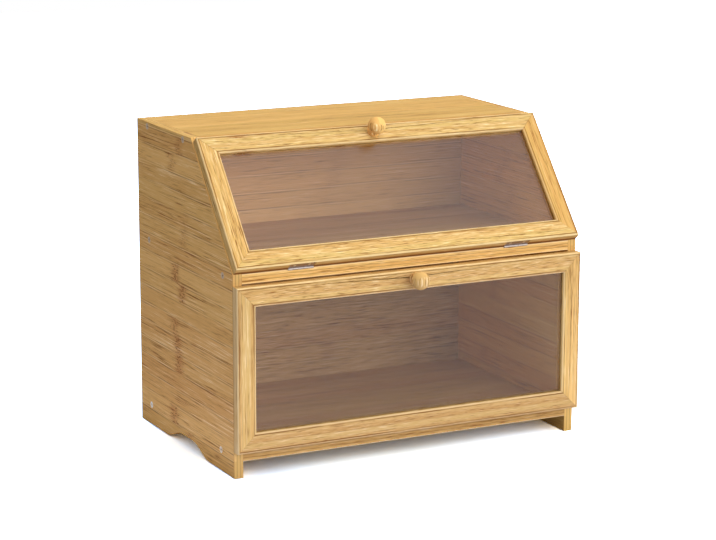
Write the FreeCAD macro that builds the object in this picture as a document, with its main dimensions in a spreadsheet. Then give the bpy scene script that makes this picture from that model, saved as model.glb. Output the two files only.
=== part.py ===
"""Two-tier bamboo bread box: sloping glazed door above, glazed drawer below.

Millimetres, +Z up, the front towards -Y.  The origin is the middle of the whole box's
outline, on the surface that it stands on.  Every size is a cell of the sheet "dims".
"""
import FreeCAD, Part
import math
import os

import Sketcher
from FreeCAD import Placement, Rotation, Vector

DIMENSIONS = {
    # Cabinet
    "cabinet_width": (390, "over the two side panels"),
    "cabinet_depth": (245, "side panel, front edge to rear edge"),
    "cabinet_height": (326, "floor to the top board's upper face"),
    "board": (10, "thickness of the cabinet's boards"),
    "foot_height": (17, "floor to the underside of the bottom board"),
    "shelf_height": (206, "floor to the shelf's upper face, where the slope starts"),
    "slant_angle": (50, "slope of the front, degrees from level"),
    "arris": (0.6, "broken edge of the cabinet's boards"),
    "overshoot": (1, "how far a cut runs past the face that it opens"),
    "hole_relief": (0.5, "blind hole beyond the end of its dowel or machine screw"),
    # Arch between the feet of a side panel
    "arch_height": (11, "floor to the crown of the arch"),
    "arch_foot_length": (98, "arch at the floor, before its corners are rounded"),
    "arch_crown_length": (42, "flat of the crown, before its corners are rounded"),
    "arch_setback": (120, "middle of the arch, behind the front edge"),
    "arch_radius": (40, "rounding of the arch's four corners"),
    # Back panel and its grooves
    "back_thickness": (7, "back panel"),
    "back_setback": (10, "rear edge of the cabinet to the back panel"),
    "groove_depth": (4, "groove that holds the back panel"),
    "groove_play": (0.1, "play on each face of the back panel"),
    "groove_relief": (0.5, "back panel's edge to the groove's floor"),
    # Screws through the side panels into the boards
    "carcass_screw_head_radius": (3.4, ""),
    "carcass_screw_radius": (1.8, ""),
    "carcass_screw_length": (30, ""),
    "carcass_screw_tip": (5, "length of the point"),
    "screw_play": (0.05, "radial play of a screw or dowel in its hole"),
    "bottom_screw_setback": (32, "front screw of the bottom board, behind the front edge"),
    "shelf_screw_setback": (24, "front screw of the shelf, behind the front edge"),
    "top_screw_setback": (20, "front screw of the top board, behind the slope's upper end"),
    "rear_screw_inset": (29, "rear screws, in front of the rear edge"),
    # Cross recess of every screw, as shares of its head
    "recess_reach": (0.6, "arm length over head radius"),
    "recess_breadth": (0.14, "half an arm's width over head radius"),
    "recess_depth": (0.5, "depth over head radius"),
    "point_share": (0.25, "end of a screw's point over its shank radius"),
    # Mitred frames of the door and of the drawer front
    "frame_thickness": (10, ""),
    "frame_rail": (20, "face width of rails and stiles"),
    "frame_arris": (1, "broken front edges of rails and stiles"),
    "closed_gap": (0.3, "behind a closed door or drawer front"),
    "door_width": (388, "over the stiles of the sloping door"),
    "door_top_reveal": (6, "door's top edge below the upper end of the slope"),
    "drawer_low_gap": (0.4, "drawer front above the bottom board's upper face"),
    "drawer_top_gap": (1.5, "drawer front below the shelf"),
    # Panes
    "pane_thickness": (2, ""),
    "pane_play": (0.2, "play on each face of a pane"),
    "pane_slot_depth": (3, "slot in the inner edges of a frame"),
    "pane_relief": (0.3, "pane's edge to the slot's floor"),
    # Hinges
    "hinge_length": (27, ""),
    "hinge_inset": (73, "middle of a hinge from the side panel's outer face"),
    "barrel_radius": (1.1, "outside of a knuckle"),
    "pin_radius": (0.5, ""),
    "pin_play": (0.05, "radial play of the pin"),
    "pin_head_radius": (0.9, ""),
    "pin_head": (0.4, "thickness of the pin's heads"),
    "knuckle_play": (0.1, "on each end of a knuckle"),
    "leaf_thickness": (0.7, ""),
    "leaf_width": (9, "hinge axis to the leaf's free edge"),
    "leaf_sink": (0.4, "leaf below the face of the wood"),
    "barrel_clearance": (0.2, "barrel to the floor of the mortise"),
    "mortise_play": (0.15, "leaf's edges to the mortise's walls"),
    "pivot_forward": (0.1, "hinge axis in front of the shelf's front edge"),
    "hinge_screw_spread": (8, "screws from the middle of the hinge"),
    "hinge_screw_reach": (5.2, "screws from the hinge axis"),
    "hinge_screw_head_radius": (1.5, ""),
    "hinge_screw_radius": (0.85, ""),
    "hinge_screw_length": (7, ""),
    "hinge_screw_tip": (1.5, "length of the point"),
    # Knobs
    "knob_length": (19, "face of the rail to the tip of the knob"),
    "knob_radius": (9.25, "head"),
    "knob_head": (11.5, "length of the head"),
    "knob_neck_radius": (4.6, ""),
    "knob_base_radius": (6.6, ""),
    "knob_base": (1.8, "thickness of the base"),
    "knob_dome_radius": (7.6, "rounding of the tip"),
    "knob_cheek_radius": (2.6, "rounding behind the head"),
    "knob_cove_radius": (1.4, "hollow at each end of the neck"),
    "knob_drop": (9, "knob's axis below the top edge of its frame"),
    "knob_screw_head_radius": (3.6, ""),
    "knob_screw_radius": (1.9, ""),
    "knob_screw_length": (19, ""),
    "knob_screw_tip": (1, "chamfered end"),
    # Drawer box behind the drawer front
    "drawer_board": (10, "thickness of the drawer's sides and back"),
    "drawer_bottom": (5, "thickness of the drawer's bottom"),
    "drawer_height": (150, "drawer's sides"),
    "runner_gap": (1, "drawer's side to the side panel"),
    "slide_gap": (0.3, "drawer's sides above the bottom board"),
    "drawer_rear_gap": (8, "drawer's back to the back panel"),
    "rebate": (5, "bottom let into the drawer's sides"),
    "dowel_radius": (2, ""),
    "dowel_length": (18, ""),
    "dowel_in_stile": (7, "length of dowel in the stile"),
    "dowel_end": (0.5, "chamfer on a dowel's ends"),
    "dowel_inset": (3.5, "dowel from the drawer side's outer face"),
    "dowel_rise": (25, "dowels from the drawer side's lower and upper edge"),
    "drawer_screw_head_radius": (3, ""),
    "drawer_screw_radius": (1.6, ""),
    "drawer_screw_length": (28, ""),
    "drawer_screw_tip": (4, "length of the point"),
    "drawer_screw_rise": (30, "screws from the drawer back's lower and upper edge"),
}
KNUCKLES = 5
TOLERANCE = 1e-6  # lengths that count as equal
PARALLEL = 0.99  # cosine of directions that count as parallel

doc = FreeCAD.newDocument("bread_box")
dims = doc.addObject("Spreadsheet::Sheet", "dims")
for row, (alias, (value, note)) in enumerate(DIMENSIONS.items(), start=1):
    dims.set(f"A{row}", alias)
    dims.set(f"B{row}", str(value))
    dims.setAlias(f"B{row}", alias)
    dims.set(f"C{row}", note)
doc.recompute()

# Planes and lines that several pieces share, as expressions of the sheet.
REACH = "(dims.closed_gap + dims.frame_thickness + dims.knob_length)"
FRONT = f"(({REACH} - dims.cabinet_depth) / 2)"
REAR = f"({FRONT} + dims.cabinet_depth)"
OUTER = "(dims.cabinet_width / 2)"
INNER = f"({OUTER} - dims.board)"
HINGE_MIDDLE = f"({OUTER} - dims.hinge_inset)"
BOTTOM_TOP = "(dims.foot_height + dims.board)"
SHELF_LOW = "(dims.shelf_height - dims.board)"
TOP_LOW = "(dims.cabinet_height - dims.board)"
SLANT_RUN = "((dims.cabinet_height - dims.shelf_height) / tan(dims.slant_angle))"
SLOPE = "((dims.cabinet_height - dims.shelf_height) / sin(dims.slant_angle))"
BACK_REAR = f"({REAR} - dims.back_setback)"
BACK_FACE = f"({BACK_REAR} - dims.back_thickness)"
GROOVE_FRONT = f"({BACK_FACE} - dims.groove_play)"
GROOVE_REAR = f"({BACK_REAR} + dims.groove_play)"
# Hinge axis, and the door's own axes there: y inwards, z up the slope.
LEAF_NEAR = "(dims.barrel_radius + dims.barrel_clearance - dims.leaf_thickness)"
MORTISE = "(dims.leaf_sink + dims.leaf_thickness)"
AXIS_Y = f"({FRONT} - dims.pivot_forward)"
AXIS_RISE = f"({LEAF_NEAR} - dims.leaf_sink)"
AXIS_Z = f"(dims.shelf_height + {AXIS_RISE})"
DOOR_LOW = AXIS_RISE
DOOR_BACK = (f"(dims.pivot_forward * sin(dims.slant_angle) + {AXIS_RISE} * cos(dims.slant_angle)"
             " - dims.closed_gap)")
DOOR_HIGH = (f"({SLOPE} + dims.pivot_forward * cos(dims.slant_angle)"
             f" - {AXIS_RISE} * sin(dims.slant_angle) - dims.door_top_reveal)")
# Drawer, on its own axes: y from the cabinet's front edges, z from the floor.
DRAWER_BACK = "(-dims.closed_gap)"
DRAWER_LOW = f"({BOTTOM_TOP} + dims.drawer_low_gap)"
DRAWER_HIGH = f"({SHELF_LOW} - dims.drawer_top_gap)"
BOX_OUTER = f"({INNER} - dims.runner_gap)"
BOX_INNER = f"({BOX_OUTER} - dims.drawer_board)"
BOX_LOW = f"({BOTTOM_TOP} + dims.slide_gap)"
BOX_FLOOR = f"({BOX_LOW} + dims.drawer_bottom)"
BOX_HIGH = f"({BOX_LOW} + dims.drawer_height)"
BOX_REAR = f"({BACK_FACE} - {FRONT} - dims.drawer_rear_gap)"

SIDES = {"left": -1, "right": 1}


# ---------------------------------------------------------------- building blocks

def new_body(label):
    body = doc.addObject("PartDesign::Body", label)
    body.Label = label
    return body


def new_sketch(body, plane, offset="0", right="0", up="0"):
    """A sketch on one of the body's own origin planes, moved by expressions."""
    support = next(item for item in body.Origin.OriginFeatures if item.Role == plane)
    sketch = body.newObject("Sketcher::SketchObject", f"{body.Label}_sketch")
    sketch.AttachmentSupport = [(support, "")]
    sketch.MapMode = "FlatFace"
    sketch.setExpression("AttachmentOffset.Base.x", right)
    sketch.setExpression("AttachmentOffset.Base.y", up)
    sketch.setExpression("AttachmentOffset.Base.z", offset)
    return sketch


def fix_point(sketch, geometry, point, x, y):
    """Hold a point of the sketch at x, y from its origin."""
    for kind, expression in (("DistanceX", x), ("DistanceY", y)):
        index = sketch.addConstraint(Sketcher.Constraint(kind, -1, 1, geometry, point, 1.0))
        sketch.setExpression(f"Constraints[{index}]", expression)


def draw_polygon(sketch, corners):
    """A closed outline.  It starts as a ring, which the constraints pull to the corners."""
    first = sketch.GeometryCount
    count = len(corners)
    ring = [Vector(math.cos(2 * math.pi * i / count), math.sin(2 * math.pi * i / count), 0)
            for i in range(count)]
    for i in range(count):
        sketch.addGeometry(Part.LineSegment(ring[i], ring[(i + 1) % count]), False)
    for i, (x, y) in enumerate(corners):
        following = first + (i + 1) % count
        sketch.addConstraint(Sketcher.Constraint("Coincident", first + i, 2, following, 1))
        fix_point(sketch, first + i, 1, x, y)


def draw_rectangle(sketch, x0, x1, y0, y1):
    draw_polygon(sketch, [(x0, y0), (x1, y0), (x1, y1), (x0, y1)])


def draw_circle(sketch, x, y, radius):
    circle = sketch.addGeometry(Part.Circle(Vector(0, 0, 0), Vector(0, 0, 1), 1), False)
    fix_point(sketch, circle, 3, x, y)
    index = sketch.addConstraint(Sketcher.Constraint("Radius", circle, 1.0))
    sketch.setExpression(f"Constraints[{index}]", radius)


def add_pad(body, sketch, length):
    pad = body.newObject("PartDesign::Pad", f"{body.Label}_pad")
    pad.Profile = sketch
    pad.setExpression("Length", length)
    return pad


def add_pocket(body, sketch, depth, reverse=False):
    """Cut against the sketch's normal, or along it when reversed."""
    before = volume(body)
    pocket = body.newObject("PartDesign::Pocket", f"{body.Label}_pocket")
    pocket.Profile = sketch
    pocket.setExpression("Length", depth)
    pocket.Reversed = reverse
    check_cut(body, before)
    return pocket


def volume(body):
    doc.recompute()
    return body.Shape.Volume


def check_cut(body, before):
    if volume(body) >= before:
        raise RuntimeError(f"a cut in {body.Label} removes nothing")


def add_revolution(body, sketch, axis):
    turned = body.newObject("PartDesign::Revolution", f"{body.Label}_turned")
    turned.Profile = sketch
    turned.ReferenceAxis = (sketch, [axis])
    turned.Angle = 360
    return turned


def add_countersunk_holes(body, sketch, radius, head_radius, reverse=False):
    """Through holes at the sketch's circles, countersunk 90 degrees on the sketch's side."""
    before = volume(body)
    hole = body.newObject("PartDesign::Hole", f"{body.Label}_holes")
    hole.Profile = sketch
    hole.Reversed = reverse
    doc.recompute()
    hole.ThreadType = "None"
    hole.DepthType = "ThroughAll"
    hole.HoleCutType = "Countersink"
    hole.HoleCutCustomValues = True
    hole.HoleCutCountersinkAngle = 90
    hole.setExpression("Diameter", f"2 * ({radius} + dims.screw_play)")
    hole.setExpression("HoleCutDiameter", f"2 * ({head_radius} + dims.screw_play)")
    check_cut(body, before)


def edge_names(feature, accept):
    """Names of the feature's edges that accept(edge) takes."""
    doc.recompute()
    return [f"Edge{i}" for i, edge in enumerate(feature.Shape.Edges, start=1) if accept(edge)]


def add_dressing(body, kind, feature, edges, size_name, size):
    """A fillet or chamfer on named edges of a feature."""
    dressing = body.newObject(f"PartDesign::{kind}", f"{body.Label}_{kind.lower()}")
    dressing.Base = (feature, edges)
    dressing.setExpression(size_name, size)
    doc.recompute()
    return dressing


def put(item, x, y, z, axis=None, angle=None):
    """Bind an object's Placement to expressions, turned about a fixed axis by an angle."""
    if axis is not None:
        item.Placement = Placement(Vector(0, 0, 0), Rotation(axis, 1))
        item.setExpression("Placement.Rotation.Angle", angle)
    item.setExpression("Placement.Base.x", x)
    item.setExpression("Placement.Base.y", y)
    item.setExpression("Placement.Base.z", z)


def on_slope(y, z):
    """Row coordinates of a point given on the door's axes."""
    return (f"({AXIS_Y} + ({y}) * sin(dims.slant_angle) + ({z}) * cos(dims.slant_angle))",
            f"({AXIS_Z} - ({y}) * cos(dims.slant_angle) + ({z}) * sin(dims.slant_angle))")


def put_on_door(item, x="0"):
    put(item, x, AXIS_Y, AXIS_Z, Vector(-1, 0, 0), "90 - dims.slant_angle")


def put_on_drawer(item):
    put(item, "0", FRONT, "0")


# ---------------------------------------------------------------- fasteners

def make_screw_blank(kind):
    """A countersunk screw: head's face at z = 0, point downwards, cross recess in the head."""
    head, shank = f"dims.{kind}_head_radius", f"dims.{kind}_radius"
    length, tip = f"dims.{kind}_length", f"dims.{kind}_tip"
    body = new_body(f"{kind}_blank")
    profile = new_sketch(body, "XZ_Plane")
    draw_polygon(profile, [
        ("0", "0"), (head, "0"), (shank, f"{shank} - {head}"), (shank, f"{tip} - {length}"),
        (f"dims.point_share * {shank}", f"-{length}"), ("0", f"-{length}")])
    add_revolution(body, profile, "V_Axis")
    arm, half = f"dims.recess_reach * {head}", f"dims.recess_breadth * {head}"
    for across, along in ((arm, half), (half, arm)):
        recess = new_sketch(body, "XY_Plane")
        draw_rectangle(recess, f"-{across}", across, f"-{along}", along)
        add_pocket(body, recess, f"dims.recess_depth * {head}")
    return body


def make_dowel_blank():
    body = new_body("dowel_blank")
    profile = new_sketch(body, "XZ_Plane")
    slim = "dims.dowel_radius - dims.dowel_end"
    draw_polygon(profile, [
        ("0", "0"), (slim, "0"), ("dims.dowel_radius", "-dims.dowel_end"),
        ("dims.dowel_radius", "dims.dowel_end - dims.dowel_length"),
        (slim, "-dims.dowel_length"), ("0", "-dims.dowel_length")])
    add_revolution(body, profile, "V_Axis")
    return body


def make_fasteners(label, blank, places):
    """One node of separate copies of a blank, each at its own place."""
    copies = []
    for place in places:
        copy = doc.addObject("App::Link", f"{label}_copy")
        copy.LinkedObject = blank
        put(copy, *place)
        copies.append(copy)
    group = doc.addObject("Part::Compound", label)
    group.Label = label
    group.Links = copies
    return group


# ---------------------------------------------------------------- cabinet

TOP_FRONT = f"({FRONT} + {SLANT_RUN})"
ARCH_MIDDLE = f"({FRONT} + dims.arch_setback)"
REAR_SCREW = f"({REAR} - dims.rear_screw_inset)"
# Each board's screws: y, z pairs in a side panel.
BOARD_SCREWS = {
    "bottom": [(f"({FRONT} + dims.bottom_screw_setback)", "(dims.foot_height + dims.board / 2)"),
               (REAR_SCREW, "(dims.foot_height + dims.board / 2)")],
    "shelf": [(f"({FRONT} + dims.shelf_screw_setback)", "(dims.shelf_height - dims.board / 2)"),
              (REAR_SCREW, "(dims.shelf_height - dims.board / 2)")],
    "top": [(f"({TOP_FRONT} + dims.top_screw_setback)", "(dims.cabinet_height - dims.board / 2)"),
            (REAR_SCREW, "(dims.cabinet_height - dims.board / 2)")],
}


def make_side_panel(name, side):
    """Side panel with sloping front, arched foot, groove for the back and screw holes."""
    body = new_body(f"side_panel_{name}")
    outline = new_sketch(body, "YZ_Plane", OUTER if side > 0 else f"-{OUTER}")
    half_foot, half_crown = "dims.arch_foot_length / 2", "dims.arch_crown_length / 2"
    draw_polygon(outline, [
        (FRONT, "0"),
        (f"{ARCH_MIDDLE} - {half_foot}", "0"),
        (f"{ARCH_MIDDLE} - {half_crown}", "dims.arch_height"),
        (f"{ARCH_MIDDLE} + {half_crown}", "dims.arch_height"),
        (f"{ARCH_MIDDLE} + {half_foot}", "0"),
        (REAR, "0"), (REAR, "dims.cabinet_height"),
        (TOP_FRONT, "dims.cabinet_height"), (FRONT, "dims.shelf_height")])
    panel = add_pad(body, outline, "dims.board")
    panel.Reversed = side > 0

    doc.recompute()
    middle = panel.Shape.BoundBox.YMin + dims.arch_setback
    reach = (dims.arch_foot_length + dims.arch_crown_length) / 4

    def is_arch_corner(edge):
        centre = edge.CenterOfMass
        low = centre.z < dims.arch_height + TOLERANCE
        beside_arch = abs(abs(centre.y - middle) - reach) < reach / 2
        across = abs(edge.tangentAt(edge.FirstParameter).x) > PARALLEL
        return low and beside_arch and across

    arch = add_dressing(body, "Fillet", panel, edge_names(panel, is_arch_corner),
                        "Radius", "dims.arch_radius")

    outer_x = side * dims.cabinet_width / 2

    def is_outer_rim(edge):
        box = edge.BoundBox
        return abs(box.XMin - outer_x) < TOLERANCE and abs(box.XMax - outer_x) < TOLERANCE

    add_dressing(body, "Chamfer", arch, edge_names(arch, is_outer_rim), "Size", "dims.arris")

    groove = new_sketch(body, "YZ_Plane", INNER if side > 0 else f"-{INNER}")
    draw_rectangle(groove, GROOVE_FRONT, GROOVE_REAR,
                   f"{BOTTOM_TOP} - dims.groove_depth", f"{TOP_LOW} + dims.groove_depth")
    add_pocket(body, groove, "dims.groove_depth", reverse=side > 0)

    holes = new_sketch(body, "YZ_Plane", OUTER if side > 0 else f"-{OUTER}")
    for pair in BOARD_SCREWS.values():
        for y, z in pair:
            draw_circle(holes, y, z, "dims.carcass_screw_radius")
    add_countersunk_holes(body, holes, "dims.carcass_screw_radius",
                          "dims.carcass_screw_head_radius", reverse=side < 0)
    return body


def make_cross_board(label, corners, screws):
    """A board between the side panels, given by its section, with screw holes in its ends."""
    body = new_body(label)
    section = new_sketch(body, "YZ_Plane", f"-{INNER}")
    draw_polygon(section, corners)
    add_pad(body, section, f"2 * {INNER}")
    for side in SIDES.values():
        ends = new_sketch(body, "YZ_Plane", INNER if side > 0 else f"-{INNER}")
        for y, z in screws:
            draw_circle(ends, y, z, "dims.carcass_screw_radius + dims.screw_play")
        add_pocket(body, ends, "dims.carcass_screw_length - dims.board", reverse=side < 0)
    return body


def make_top_board():
    bevel = f"({FRONT} + {SLANT_RUN} - dims.board / tan(dims.slant_angle))"
    groove = f"{TOP_LOW} + dims.groove_depth"
    return make_cross_board("top_board", [
        (bevel, TOP_LOW), (GROOVE_FRONT, TOP_LOW), (GROOVE_FRONT, groove),
        (GROOVE_REAR, groove), (GROOVE_REAR, TOP_LOW), (REAR, TOP_LOW),
        (REAR, "dims.cabinet_height"), (TOP_FRONT, "dims.cabinet_height")], BOARD_SCREWS["top"])


def make_bottom_board():
    groove = f"{BOTTOM_TOP} - dims.groove_depth"
    return make_cross_board("bottom_board", [
        (FRONT, "dims.foot_height"), (REAR, "dims.foot_height"), (REAR, BOTTOM_TOP),
        (GROOVE_REAR, BOTTOM_TOP), (GROOVE_REAR, groove), (GROOVE_FRONT, groove),
        (GROOVE_FRONT, BOTTOM_TOP), (FRONT, BOTTOM_TOP)], BOARD_SCREWS["bottom"])


def cut_hinge_mortises(body, level, near, far, reverse):
    """Mortises and screw holes for both hinges, cut into a face that lies level in the body."""
    mortises = new_sketch(body, "XY_Plane", level)
    half = "dims.hinge_length / 2 + dims.pin_head + dims.mortise_play"
    for side in SIDES.values():
        middle = f"{side} * {HINGE_MIDDLE}"
        draw_rectangle(mortises, f"{middle} - ({half})", f"{middle} + {half}", near, far)
    add_pocket(body, mortises, MORTISE, reverse)


def cut_hinge_screw_holes(body, floor, y, reverse):
    holes = new_sketch(body, "XY_Plane", floor)
    for side in SIDES.values():
        for end in SIDES.values():
            x = f"{side} * {HINGE_MIDDLE} + {end} * dims.hinge_screw_spread"
            draw_circle(holes, x, y, "dims.hinge_screw_radius + dims.screw_play")
    add_pocket(body, holes, "dims.hinge_screw_length", reverse)


def make_shelf_board():
    end = f"({BACK_FACE} - dims.groove_play)"
    body = make_cross_board("shelf_board", [
        (FRONT, SHELF_LOW), (end, SHELF_LOW),
        (end, "dims.shelf_height"), (FRONT, "dims.shelf_height")], BOARD_SCREWS["shelf"])
    cut_hinge_mortises(body, "dims.shelf_height", f"{FRONT} - dims.overshoot",
                       f"{AXIS_Y} + dims.leaf_width + dims.mortise_play", reverse=False)
    cut_hinge_screw_holes(body, f"dims.shelf_height - {MORTISE}",
                          f"{AXIS_Y} + dims.hinge_screw_reach", reverse=False)
    return body


def make_back_panel():
    body = new_body("back_panel")
    half = f"{INNER} + dims.groove_depth - dims.groove_relief"
    outline = new_sketch(body, "XZ_Plane", f"-{BACK_REAR}")
    draw_rectangle(outline, f"-({half})", half,
                   f"{BOTTOM_TOP} - dims.groove_depth + dims.groove_relief",
                   f"{TOP_LOW} + dims.groove_depth - dims.groove_relief")
    add_pad(body, outline, "dims.back_thickness")
    return body


def carcass_screw_places():
    for side in SIDES.values():
        for pair in BOARD_SCREWS.values():
            for y, z in pair:
                yield f"{side} * {OUTER}", y, z, Vector(0, side, 0), "90"


# ---------------------------------------------------------------- glazed frames

def cut_pane_slot(body, back, x0, x1, z0, z1):
    """The slot for the pane, in the middle of the frame's thickness."""
    width = "(dims.pane_thickness + 2 * dims.pane_play)"
    front = f"({back} - (dims.frame_thickness + {width}) / 2)"
    slot = new_sketch(body, "XZ_Plane", f"-({front})")
    draw_rectangle(slot, x0, x1, z0, z1)
    add_pocket(body, slot, width)


def make_frame_member(label, corners, slot, back, runs_along_x):
    """A mitred rail or stile: face outline, pane slot, then its two long front edges broken."""
    body = new_body(label)
    outline = new_sketch(body, "XZ_Plane", f"-({back})")
    draw_polygon(outline, corners)
    blank = add_pad(body, outline, "dims.frame_thickness")
    doc.recompute()
    front = blank.Shape.BoundBox.YMin

    def is_long_front_edge(edge):
        heading = edge.tangentAt(edge.FirstParameter)
        along = heading.x if runs_along_x else heading.z
        return abs(edge.BoundBox.YMax - front) < TOLERANCE and abs(along) > PARALLEL

    add_dressing(body, "Chamfer", blank, edge_names(blank, is_long_front_edge),
                 "Size", "dims.frame_arris")
    cut_pane_slot(body, back, *slot)
    return body


def make_frame(prefix, width, low, high, back, place):
    """Two rails, two stiles and a pane; returns the members by name."""
    rail, depth = "dims.frame_rail", "dims.pane_slot_depth"
    edge = f"({width} / 2)"
    window = f"({edge} - {rail})"
    sill, head = f"({low} + {rail})", f"({high} - {rail})"
    members = {
        "rail_bottom": make_frame_member(
            f"{prefix}_rail_bottom",
            [(f"-{edge}", low), (edge, low), (window, sill), (f"-{window}", sill)],
            (f"-{edge}", edge, f"{sill} - {depth}", head), back, True),
        "rail_top": make_frame_member(
            f"{prefix}_rail_top",
            [(f"-{edge}", high), (edge, high), (window, head), (f"-{window}", head)],
            (f"-{edge}", edge, sill, f"{head} + {depth}"), back, True),
        "stile_left": make_frame_member(
            f"{prefix}_stile_left",
            [(f"-{edge}", low), (f"-{edge}", high), (f"-{window}", head), (f"-{window}", sill)],
            (f"-({window} + {depth})", "0", low, high), back, False),
        "stile_right": make_frame_member(
            f"{prefix}_stile_right",
            [(edge, low), (edge, high), (window, head), (window, sill)],
            ("0", f"{window} + {depth}", low, high), back, False),
    }
    pane = new_body(f"{prefix}_pane")
    let_in = f"({depth} - dims.pane_relief)"
    outline = new_sketch(
        pane, "XZ_Plane", f"-({back} - (dims.frame_thickness - dims.pane_thickness) / 2)")
    draw_rectangle(outline, f"-({window} + {let_in})", f"{window} + {let_in}",
                   f"{sill} - {let_in}", f"{head} + {let_in}")
    add_pad(pane, outline, "dims.pane_thickness")
    for body in [*members.values(), pane]:
        place(body)
    return members


def bore_knob_hole(rail, back, height):
    """Hole for the knob's screw, countersunk in the rail's back."""
    holes = new_sketch(rail, "XZ_Plane", f"-({back})")
    draw_circle(holes, "0", height, "dims.knob_screw_radius")
    add_countersunk_holes(rail, holes, "dims.knob_screw_radius", "dims.knob_screw_head_radius",
                          reverse=True)


def make_knob(label, face, height, place):
    """A turned knob: base, hollowed neck and a domed head, bored for its screw."""
    body = new_body(label)
    profile = new_sketch(body, "YZ_Plane", right=face, up=height)
    neck_end = "dims.knob_head - dims.knob_length"
    draw_polygon(profile, [
        ("0", "0"), ("0", "dims.knob_base_radius"), ("-dims.knob_base", "dims.knob_base_radius"),
        ("-dims.knob_base", "dims.knob_neck_radius"), (neck_end, "dims.knob_neck_radius"),
        (neck_end, "dims.knob_radius"), ("-dims.knob_length", "dims.knob_radius"),
        ("-dims.knob_length", "0")])
    turned = add_revolution(body, profile, "H_Axis")
    doc.recompute()
    tip = turned.Shape.BoundBox.YMin
    cheek = tip + dims.knob_head
    base = tip + dims.knob_length - dims.knob_base

    def is_ring(y, radius):
        def accept(edge):
            curve = edge.Curve
            if not isinstance(curve, Part.Circle):
                return False
            return max(abs(curve.Center.y - y), abs(curve.Radius - radius)) < TOLERANCE
        return accept

    rings = [("knob_dome_radius", tip, dims.knob_radius),
             ("knob_cheek_radius", cheek, dims.knob_radius),
             ("knob_cove_radius", cheek, dims.knob_neck_radius),
             ("knob_cove_radius", base, dims.knob_neck_radius)]
    feature = turned
    for size, y, radius in rings:
        names = edge_names(feature, is_ring(y, radius))
        feature = add_dressing(body, "Fillet", feature, names, "Radius", f"dims.{size}")

    bore = new_sketch(body, "XZ_Plane", f"-({face})", up=height)
    draw_circle(bore, "0", "0", "dims.knob_screw_radius + dims.screw_play")
    add_pocket(body, bore, "dims.knob_screw_length - dims.frame_thickness + dims.hole_relief",
               reverse=True)
    place(body)
    return body


# ---------------------------------------------------------------- hinges

def make_box(name, x0, x1, y0, y1, z0, z1):
    box = doc.addObject("Part::Box", name)
    box.setExpression("Length", f"({x1}) - ({x0})")
    box.setExpression("Width", f"({y1}) - ({y0})")
    box.setExpression("Height", f"({z1}) - ({z0})")
    put(box, x0, y0, z0)
    return box


def make_rod(name, radius, x0, x1):
    """A cylinder along X, on the hinge axis."""
    rod = doc.addObject("Part::Cylinder", name)
    rod.setExpression("Radius", radius)
    rod.setExpression("Height", f"({x1}) - ({x0})")
    put(rod, x0, "0", "0", Vector(0, 1, 0), "90")
    return rod


def make_hinge_leaf(label, first_knuckle):
    """One leaf on its own axes: x along the pin, the plate towards +y and below the pin.

    A leaf has every second knuckle, from first_knuckle on.
    """
    half = "dims.hinge_length / 2"
    pitch = f"dims.hinge_length / {KNUCKLES}"
    plate = make_box(f"{label}_plate", f"-{half}", half, "0", "dims.leaf_width",
                     f"-({LEAF_NEAR} + dims.leaf_thickness)", f"-{LEAF_NEAR}")
    barrel = make_rod(f"{label}_barrel", "dims.barrel_radius", f"-{half}", half)
    blank = doc.addObject("Part::Fuse", f"{label}_blank")
    blank.Base = plate
    blank.Tool = barrel
    clear = "dims.barrel_radius + dims.barrel_clearance"
    tools = [make_rod(f"{label}_bore", "dims.pin_radius + dims.pin_play",
                      f"-{half} - dims.overshoot", f"{half} + dims.overshoot")]
    for knuckle in range(1 - first_knuckle, KNUCKLES, 2):
        low = f"-{half} + {knuckle} * {pitch} - dims.knuckle_play"
        high = f"-{half} + {knuckle + 1} * {pitch} + dims.knuckle_play"
        low = f"{low} - dims.overshoot" if knuckle == 0 else low
        high = f"{high} + dims.overshoot" if knuckle == KNUCKLES - 1 else high
        tools.append(make_box(f"{label}_gap", low, high, f"-({clear})", clear,
                              f"-({clear})", clear))
    for end in SIDES.values():
        countersink = doc.addObject("Part::Cone", f"{label}_countersink")
        grown = "dims.hinge_screw_head_radius + dims.screw_play"
        countersink.setExpression("Radius1", f"{grown} - dims.leaf_thickness")
        countersink.setExpression("Radius2", grown)
        countersink.setExpression("Height", "dims.leaf_thickness")
        put(countersink, f"{end} * dims.hinge_screw_spread", "dims.hinge_screw_reach",
            f"-({LEAF_NEAR} + dims.leaf_thickness)")
        shank = doc.addObject("Part::Cylinder", f"{label}_screw_hole")
        shank.setExpression("Radius", "dims.hinge_screw_radius + dims.screw_play")
        shank.setExpression("Height", "dims.leaf_thickness")
        put(shank, f"{end} * dims.hinge_screw_spread", "dims.hinge_screw_reach",
            f"-({LEAF_NEAR} + dims.leaf_thickness)")
        tools += [countersink, shank]
    cutter = doc.addObject("Part::MultiFuse", f"{label}_cutter")
    cutter.Shapes = tools
    leaf = doc.addObject("Part::Cut", label)
    leaf.Label = label
    leaf.Base = blank
    leaf.Tool = cutter
    return leaf


def make_hinge_pin(label):
    body = new_body(label)
    profile = new_sketch(body, "XY_Plane")
    half = "dims.hinge_length / 2"
    end = f"({half} + dims.pin_head)"
    draw_polygon(profile, [
        (f"-{end}", "0"), (f"-{end}", "dims.pin_head_radius"),
        (f"-({half})", "dims.pin_head_radius"), (f"-({half})", "dims.pin_radius"),
        (half, "dims.pin_radius"), (half, "dims.pin_head_radius"),
        (end, "dims.pin_head_radius"), (end, "0")])
    add_revolution(body, profile, "H_Axis")
    return body


def hinge_screw_xs():
    for side in SIDES.values():
        for end in SIDES.values():
            yield f"{side} * {HINGE_MIDDLE} + {end} * dims.hinge_screw_spread"


# ---------------------------------------------------------------- drawer box

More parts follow.
